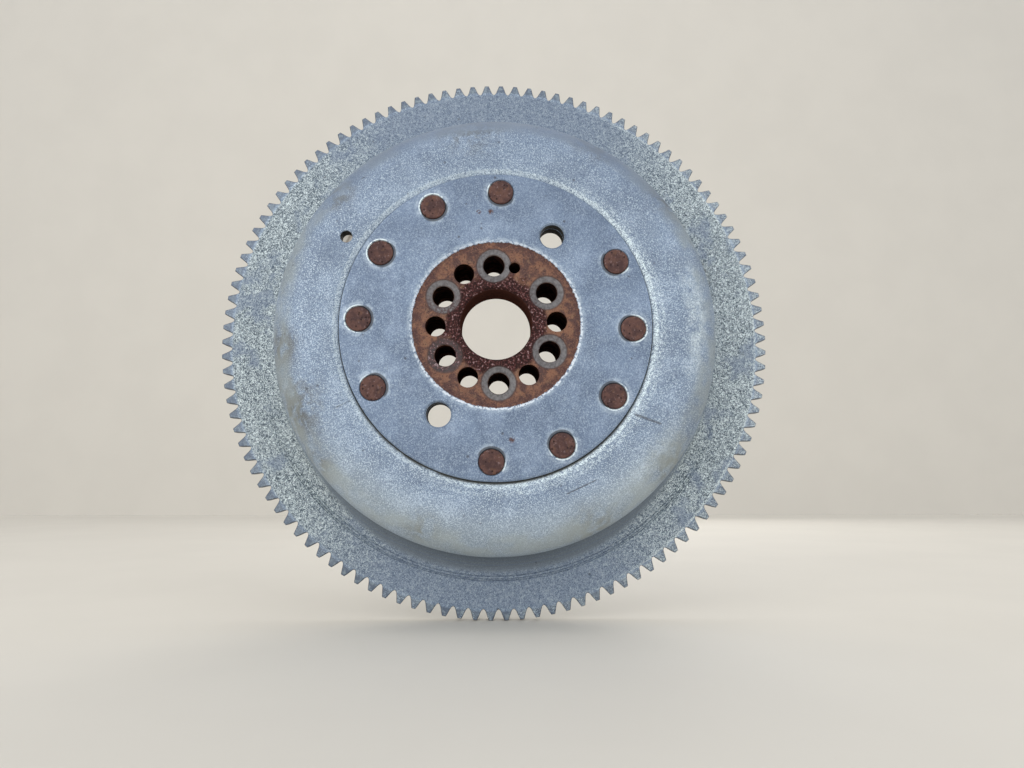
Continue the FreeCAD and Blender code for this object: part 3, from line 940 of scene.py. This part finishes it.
def cup_material():
    """Zinc coat on the cup: coarse bright speckle on the flange, finer on the crown, duller on the teeth."""
    s = Shader("zinc_coat_on_pressed_steel")
    radius, h = s.radius_and_h
    x, _, z = s.xyz
    from_axis = s.math("MAXIMUM", radius, 1.0)
    sideways = s.math("DIVIDE", s.math("ABSOLUTE", s.scale(x, 1 / MM)), from_axis)
    downward = s.math("DIVIDE", s.scale(z, -1 / MM), from_axis)
    at_side = s.ease(sideways, 0.35, 0.85)
    on_front = s.ease(h, FLANGE_BACK_H, FLANGE_BACK_H + 2)
    fine = s.noise(0.46, 2, 0.6)
    pattern = s.blend(0.3, s.noise(0.95, 2.5, 0.7, 1.5), fine)
    color, speck = zinc_ground(s, 26, 0.52, 0.95)

    on_flange = s.less(radius, s.blend(at_side, 121.5, 117.0))
    inside_teeth = s.ease(radius, BEVEL_START_R + 1.5, BEVEL_START_R - 0.5)
    flange = s.both(s.ease(on_flange, -1.5, 1.5), inside_teeth, on_front)
    # The flange's crystals, with painted glints at its sides and painted shade above and below.
    color = s.over(color, flange_color_with_side_glints(s, at_side, pattern), flange, 0.95)
    lip = s.band(radius, 77.2, 80.0, 0.6)
    color = lip_highlight_dirt_and_shade(s, color, lip, pattern, downward)
    # Painted highlight on the crown's rounding into the shoulder, to the right and lower right.
    shoulder_highlight = s.both(s.spot(*SHOULDER_HIGHLIGHT_RIGHT), s.band(radius, 95, 104, 4), s.patches(0.36, 0.60, 6, 3, 0.6))
    shoulder_highlight = s.either(shoulder_highlight, s.both(s.spot(*SHOULDER_HIGHLIGHT_LOW), s.band(radius, 97, 104, 4), 0.6))
    color = s.over(color, ZINC_WHITE, shoulder_highlight, s.scale(s.ease(pattern, 0.48, 0.56), 0.65, 0.2))

    # Painted highlight: a pale line at the root of the teeth, on the right side only.
    root = s.both(s.band(radius, 140.4, 141.6, 0.4), s.ease(x, 0.03, 0.10), on_front)
    color = s.over(color, ZINC_WHITE, root, s.ease(fine, 0.42, 0.60), 0.75)
    teeth = s.ease(radius, 141.6, 143.4)
    color = s.over(color, tooth_color(s, x, fine, pattern), teeth, 0.85)
    # Painted shade on the flanks of the teeth, the faces that run along the axis.
    tooth_side_shade = s.ease(s.facing("True Normal"), 0.93, 0.80)
    color = s.over(color, TOOTH_SIDE_SHADE, tooth_side_shade, s.ease(radius, 140.5, 141.3), 0.75)

    fillet = s.both(s.ease(radius, 112.8, 115.0), s.ease(on_flange, 2.5, -1.0), on_front)
    lines = s.noise(0.9, 1, 0.5, vector=s.by_radius(radius))
    color = fillet_coat(s, color, fillet, lines, downward)
    color = s.over(color, DIRT, s.spots(STAINS), s.patches(0.40, 0.60, 7, 4, 0.62, 0.5), 0.82)
    color = shoulder_coat(s, color, downward)
    color = s.over(color, ZINC_DARK, s.spot(*VENT_HALO), 0.5)
    pits = s.both(s.ease(s.cells(6.5), 0.14, 0.06), s.patches(0.54, 0.62, 7, 1))
    color = s.over(color, PIT_GREY, pits, 0.5)
    scratches = s.either(*(s.stroke(*scratch) for scratch in SCRATCHES))
    color = s.over(color, SCRATCH_GREY, scratches, s.patches(0.3, 0.5, 2.5, 2), 0.6)
    inside = s.both(s.ease(h, 30.5, 26.5), s.ease(radius, CUP_INNER_R - 0.1, CUP_INNER_R - 1.0))
    color = s.over(color, RUST_BROWN, inside, s.patches(0.5, 0.68, 9, 4, 0.65), 0.5)
    # Painted shade: near-black on the cup's side-facing walls inside the crown, in the drilled holes and round
    # the plate.
    drilled = s.both(s.ease(s.facing(), 0.5, 0.2), s.ease(radius, 91, 90), s.ease(h, 24, 26))
    color = s.over(color, HOLE_SHADE, drilled)

    height = s.blend(flange, s.blend(lip, s.scale(speck, 0.4), pattern), pattern)
    height = s.less(height, s.both(s.either(pits, scratches), 0.6))
    height = s.add(height, s.both(fillet, lines, 0.5))
    s.dull(drilled)
    s.surface.inputs["Metallic"].default_value = 0.30
    roughness = s.blend(teeth, s.scale(speck, -0.25, 0.68), 0.48)
    return s.finish(color, roughness, s.bump(height, COAT_DEPTH))


def rivet_marks(s, color):
    """Painted highlight on the outer side of each rivet's seat, pale halo, and shaded crescent round each
    rivet's head.
    """
    x, _, z = s.xyz
    number = s.math("ROUND", s.scale(s.degrees, 1 / RIVET_STEP, -RIVET_START / RIVET_STEP))
    turn = s.scale(number, math.radians(RIVET_STEP), math.radians(RIVET_START))
    cosine, sine = s.math("COSINE", turn), s.math("SINE", turn)
    away_x = s.less(s.scale(x, 1 / MM), s.scale(cosine, RIVET_CIRCLE_R))
    away_z = s.less(s.scale(z, 1 / MM), s.scale(sine, RIVET_CIRCLE_R))
    from_rivet = s.length(away_x, away_z)
    outward = s.add(s.both(away_x, cosine), s.both(away_z, sine))
    outward = s.math("DIVIDE", outward, s.math("MAXIMUM", from_rivet, 1.0))
    empty_x, empty_z = around(1 / MM, PULLER_START)
    along_empty = s.math("ABSOLUTE", s.add(s.scale(x, empty_x), s.scale(z, empty_z)))
    has_rivet = s.ease(along_empty, 60, 58)
    # Painted highlight on the outer side of the ring round each rivet's head.
    seat_highlight = s.both(s.band(from_rivet, 6.2, 7.15, 0.25), s.ease(outward, -0.7, 0.5), has_rivet)
    color = s.over(color, ZINC_BRIGHT, seat_highlight, s.patches(0.34, 0.52, 1.6, 2), 0.95)
    halo = s.both(s.band(from_rivet, 7.0, 8.8, 0.9), has_rivet, s.patches(0.34, 0.6, 3, 2))
    color = s.over(color, ZINC_PALE, halo, 0.40)
    width = s.scale(s.ease(outward, 0.35, -0.8), 1.5)
    crescent = s.ease(s.less(s.less(from_rivet, RIVET_HEAD_R), width), 0.25, -0.35)
    return s.over(color, RIVET_SHADE, crescent, has_rivet, s.ease(outward, 0.4, 0.0), 0.8)


def bare_rust(s, radius, pitted, pit_color):
    """Orange and brown rust of the bare centre, dark at its edge and pitted near the bore."""
    rust = s.mix(s.patches(0.41, 0.57, 6, 4, 0.66, 0.6), RUST_BROWN, RUST_ORANGE)
    rust = s.over(rust, RUST_TAN, s.patches(0.54, 0.68, 3.0, 3, 0.6), 0.6)
    rust = s.over(rust, RUST_EDGE, s.ease(radius, 36.0, 40.0), s.patches(0.38, 0.54, 1.6, 3, 0.65), 0.85)
    rust = s.over(rust, RUST_DARK, s.patches(0.46, 0.34, 0.9, 2, 0.6), 0.7)
    rust = s.over(rust, RUST_LIGHT, s.patches(0.56, 0.68, 0.8, 2, 0.6), 0.5)
    return s.mix(pitted, rust, pit_color)


def from_bolt_hole(s, radius):
    """Millimetres from the middle of the nearest bolt hole."""
    turn = s.math("FLOORED_MODULO", s.add(s.degrees, BOLT_STEP / 2 - BOLT_START + 360), BOLT_STEP)
    local = s.scale(turn, math.pi / 180, -math.radians(BOLT_STEP / 2))
    across = s.less(s.both(radius, s.math("COSINE", local)), BOLT_CIRCLE_R)
    return s.length(across, s.both(radius, s.math("SINE", local)))


def hub_material():
    """Smooth zinc on the plate; orange rust, dark pits and grey clamp rings on the bare centre."""
    s = Shader("zinc_plate_with_rusted_centre")
    radius, h = s.radius_and_h
    x, _, z = s.xyz
    color, speck = zinc_ground(s, 24, 0.50, 0.55)
    color = s.mix(1.0, color, PLATE_TINT, "MULTIPLY")
    color = s.over(color, ZINC_PALE, s.patches(0.48, 0.62, 20, 2), s.patches(0.55, 0.68, 0.8, 2, 0.6), 0.5)
    # Painted shade: the upper part of the plate a little darker.
    color = s.over(color, ZINC_DARK, s.ease(z, 0.02, 0.07), 0.16)
    color = rivet_marks(s, color)
    chips = s.spots(CHIPS)
    color = s.over(color, RUST_BROWN, chips, s.patches(0.35, 0.55, 1.3, 3))
    specks = s.both(s.ease(s.cells(7), 0.13, 0.06), s.patches(0.5, 0.6, 8, 1))
    color = s.over(color, SPECK_GREY, specks, 0.6)

    ragged = s.add(radius, s.scale(s.noise(1.1, 3, 0.7), 2.0, -1.0))
    bare_front = s.ease(ragged, CLAMP_FACE_R + 0.2, CLAMP_FACE_R - 0.15)
    bare = s.both(bare_front, s.ease(h, SEAT_H - 2, SEAT_H - 1))
    bare = s.either(bare, s.both(s.ease(radius, 76, 75), s.ease(h, 33, 32)))
    pitted = s.ease(s.add(radius, s.scale(s.noise(6, 3, 0.6), 12.0, -6.0)), 27.0, 23.5)
    pit_noise = s.noise(1.15, 2, 0.65)
    pit_color = s.mix(s.ease(pit_noise, 0.45, 0.60), RUST_DARK, PIT_BROWN)
    pit_color = s.over(pit_color, RUST_PALE, s.ease(pit_noise, 0.59, 0.67))
    rust = bare_rust(s, radius, pitted, pit_color)

    from_bolt = from_bolt_hole(s, radius)
    on_face = s.ease(h, 38.0, 38.4)
    ring = s.both(s.ease(from_bolt, CLAMP_RING_R + 0.15, CLAMP_RING_R - 0.35), on_face)
    left = s.both(s.ease(x, -0.012, -0.022), s.ease(z, 0.022, 0.004))
    worn = s.either(s.both(left, s.ease(pit_noise, 0.40, 0.60)), s.scale(s.patches(0.58, 0.7, 1.6, 2), 0.4))
    ring_color = s.mix(s.patches(0.35, 0.65, 1.3, 3, 0.6), STEEL_DARK, STEEL_GREY)
    ring_color = s.over(ring_color, RING_WORN, worn)
    ring_color = s.over(ring_color, pit_color, s.spot(*WORST_RING), 0.72)
    rust = s.mix(ring, s.mix(1.0, rust, RUST_TINT, "MULTIPLY"), ring_color)
    ring_edge = s.both(s.band(from_bolt, CLAMP_RING_R - 0.3, CLAMP_RING_R + 0.5, 0.3), on_face)
    rust = s.over(rust, RING_EDGE, ring_edge, 0.55)
    side = s.facing()
    in_hole = s.both(s.ease(side, 0.6, 0.3), s.ease(radius, 45, 44))
    # Painted shade: near-black walls in the bore and bolt holes, with patches of brown rust.
    bore_rust_and_shade = s.mix(s.patches(0.4, 0.65, 3, 3), BORE_SHADE, BORE_BROWN)
    bore_rust_and_shade = s.over(bore_rust_and_shade, BORE_EDGE, s.ease(radius, 18.6, 18.2), 0.6)
    color = s.mix(bare, color, s.mix(in_hole, rust, bore_rust_and_shade))

    on_plate = s.ease(h, 38.5, 38.9)
    # Pale burr round the bare centre, brighter to the lower right as painted highlight.
    burr = s.both(s.band(ragged, CLAMP_FACE_R + 0.1, CLAMP_FACE_R + 1.2, 0.25), on_plate)
    lit_lower_right = s.ease(s.add(s.scale(x, 0.5 / MM), s.scale(z, -1 / MM)), -60, 40)
    color = s.over(color, ZINC_BURR, burr, s.patches(0.40, 0.54, 1.5, 2, 0.6), s.scale(lit_lower_right, 0.35, 0.55))
    around_bare = s.both(s.band(ragged, CLAMP_FACE_R + 0.6, CLAMP_FACE_R + 2.4, 0.9), on_plate)
    color = s.over(color, ZINC_PALE, around_bare, s.patches(0.36, 0.58, 2.2, 2), 0.38)
    # Painted shade: near-black walls in the puller holes.
    in_puller = s.both(s.ease(side, 0.3, 0.15), s.ease(radius, 44, 45), s.ease(radius, 60, 59))
    color = s.over(color, PULLER_SHADE, in_puller)

    rust_height = s.blend(pitted, s.scale(s.noise(0.9, 3, 0.65), 0.55), s.scale(pit_noise, 1.5))
    rust_height = s.blend(ring, rust_height, s.scale(worn, -0.35, 0.5))
    height = s.less(s.blend(bare, s.scale(speck, 0.30), rust_height), s.both(s.either(chips, specks), 0.5))
    s.dull(s.either(in_hole, in_puller, s.both(pitted, bare, 0.7)))
    metal = s.blend(bare, 0.35, s.scale(s.both(ring, s.less(1.0, worn)), 0.6))
    roughness = s.blend(bare, s.scale(speck, -0.2, 0.60), s.blend(ring, s.scale(pit_noise, -0.5, 0.95), 0.5))
    return s.finish(color, roughness, s.bump(height, COAT_DEPTH), metal)


def rivet_material():
    """Bare steel gone brown, with dark pits and a few pale crystals."""
    s = Shader("rusted_rivet_steel")
    speck = s.noise(1.0, 3, 0.65)
    pits = s.ease(s.cells(2.3), 0.30, 0.12)
    color = s.mix(s.patches(0.36, 0.64, 4, 3, 0.6), RIVET_DARK, RIVET_BROWN)
    color = s.over(color, RIVET_TAN, s.patches(0.55, 0.72, 2.4, 3), 0.5)
    color = s.over(color, RUST_DARK, pits)
    color = s.over(color, RUST_PALE, s.ease(speck, 0.60, 0.72), 0.45)
    height = s.less(speck, s.both(pits, 0.7))
    s.surface.inputs["Metallic"].default_value = 0.1
    s.surface.inputs["Specular IOR Level"].default_value = 0.3
    return s.finish(color, s.scale(speck, -0.4, 0.95), s.bump(height, 0.18))


def magnet_material():
    """Dark sintered magnet with a slight grain."""
    s = Shader("sintered_magnet")
    grain = s.noise(0.6, 4, 0.6)
    return s.finish(s.mix(grain, MAGNET_DARK, MAGNET_GREY), s.scale(grain, 0.3, 0.45), s.bump(grain, 0.05))


def cage_material():
    """Black moulded plastic, dusty, with the fine texture of the mould."""
    s = Shader("moulded_cage_plastic")
    dust = s.noise(8, 4, 0.6)
    color = s.mix(s.ease(dust, 0.45, 0.72), PLASTIC_BLACK, PLASTIC_DUST)
    return s.finish(color, s.scale(dust, 0.35, 0.40), s.bump(s.noise(0.5, 2), 0.03))


def sleeve_material():
    """Satin rolled steel with marks round its circumference and some light staining."""
    s = Shader("rolled_sleeve_steel")
    x, y, z = s.xyz
    stretched = s.node("ShaderNodeCombineXYZ")
    for socket, value in zip(stretched.inputs, (s.scale(x, 0.06), y, s.scale(z, 0.06))):
        s.put(socket, value)
    drawn = s.noise(0.35, 3, 0.6, vector=stretched.outputs[0])
    stain = s.patches(0.52, 0.70, 11, 4, 0.6)
    color = s.over(s.mix(drawn, SLEEVE_DARK, SLEEVE_LIGHT), SLEEVE_STAIN, stain, 0.55)
    s.surface.inputs["Metallic"].default_value = 0.9
    return s.finish(color, s.blend(stain, s.scale(drawn, 0.25, 0.28), 0.62), s.bump(drawn, 0.02))


def paint(piece, material):
    piece.data.materials.clear()
    piece.data.materials.append(material)


def fit(piece, material, slot, *nodes):
    """Gives a piece its material and lets it stand for its CAD nodes; the slot is not used."""
    paint(piece, material)
    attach(piece, "root")
    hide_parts(*nodes)


# ---- assembly

fit(make_cup(), cup_material(), "zinc_cup", "rotor_yoke")
fit(make_hub(), hub_material(), "zinc_hub", "hub")
rivet_steel = rivet_material()
for number, place in enumerate(RIVET_PLACES, start=1):
    rivet = make_rivet(number, RIVET_START + RIVET_STEP * place)
    fit(rivet, rivet_steel, "rivet_steel", f"rivet_{number:02d}")
cage_plastic = cage_material()
ring = make_cage()
paint(ring, cage_plastic)
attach(ring, "root")
fit(make_sleeve(), sleeve_material(), "sleeve_steel", "magnet_sleeve")
magnet_ceramic = magnet_material()
for name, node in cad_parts.items():
    if name.startswith("magnet_") and name != "magnet_sleeve":
        paint(node, cage_plastic if name == "magnet_cage" else magnet_ceramic)


# ---- studio

FLOOR_SIZE = 6.0
WALL_Y = 1.23
FLOOR_COLOR = (0.70, 0.66, 0.585)
WARM, COOL, WHITE = (1.0, 0.985, 0.96), (0.95, 0.975, 1.0), (1, 1, 1)
SKY_COLOR = (0.90, 0.935, 1.0, 1)
SKY_STRENGTH = 0.92
CAMERA_PLACE = (-0.0004, -0.3746, -0.0768)
CAMERA_PITCH = 7.79
CAMERA_YAW = 1.34
CAMERA_LENS = 25.34


def studio_material(name, color):
    """Pale matte board with a barely visible grain."""
    s = Shader(name)
    grain = s.noise(90, 3, 0.5)
    tone = s.mix(s.ease(grain, 0.3, 0.7), tuple(c * 0.975 for c in color), color)
    return s.finish(tone, 0.7, s.bump(grain, 0.02))


def sheet(name, corners, material):
    mesh = bpy.data.meshes.new(name)
    mesh.from_pydata(corners, [], [(0, 1, 2, 3)])
    mesh.materials.append(material)
    placed(name, mesh)


def lamp(name, place, target, size, power, color=WHITE):
    data = bpy.data.lights.new(name, "AREA")
    data.shape = "DISK"
    data.size = size
    data.energy = power
    data.color = color
    light = placed(name, data)
    light.location = place
    light.rotation_euler = (Vector(target) - Vector(place)).to_track_quat("-Z", "Y").to_euler()
    light.visible_camera = False


def make_studio():
    floor_z = cad_low.z
    board = studio_material("pale_board", FLOOR_COLOR)
    side = FLOOR_SIZE
    foot = [(-side, WALL_Y, floor_z), (side, WALL_Y, floor_z)]
    sheet("floor", [(-side, -side, floor_z), (side, -side, floor_z), *foot[::-1]], board)
    sheet("backdrop", [*foot, (side, WALL_Y, side), (-side, WALL_Y, side)], board)
    lamp("key", (-0.95, -1.4, 0.55), (0, 0, 0), 1.5, 10.5, WARM)
    lamp("fill", (1.2, -1.2, 0.35), (0, 0, 0), 1.2, 3.5, COOL)
    lamp("overhead", (0.0, 0.25, 2.0), (0, 0.25, 0), 2.2, 6)
    lamp("back", (0.3, 1.1, 0.5), (0.3, 0, 0.5), 0.9, 3.5)
    world = bpy.data.worlds.new("studio")
    world.use_nodes = True
    sky = world.node_tree.nodes["Background"]
    sky.inputs["Color"].default_value = SKY_COLOR
    sky.inputs["Strength"].default_value = SKY_STRENGTH
    bpy.context.scene.world = world
    bpy.context.scene.view_settings.view_transform = "Standard"


def make_camera():
    data = bpy.data.cameras.new("camera")
    data.sensor_width = 36
    data.lens = CAMERA_LENS
    data.clip_start = 0.01
    camera = placed("camera", data)
    camera.location = CAMERA_PLACE
    camera.rotation_euler = (math.radians(90 + CAMERA_PITCH), 0, -math.radians(CAMERA_YAW))
    bpy.context.scene.camera = camera


make_studio()
make_camera()
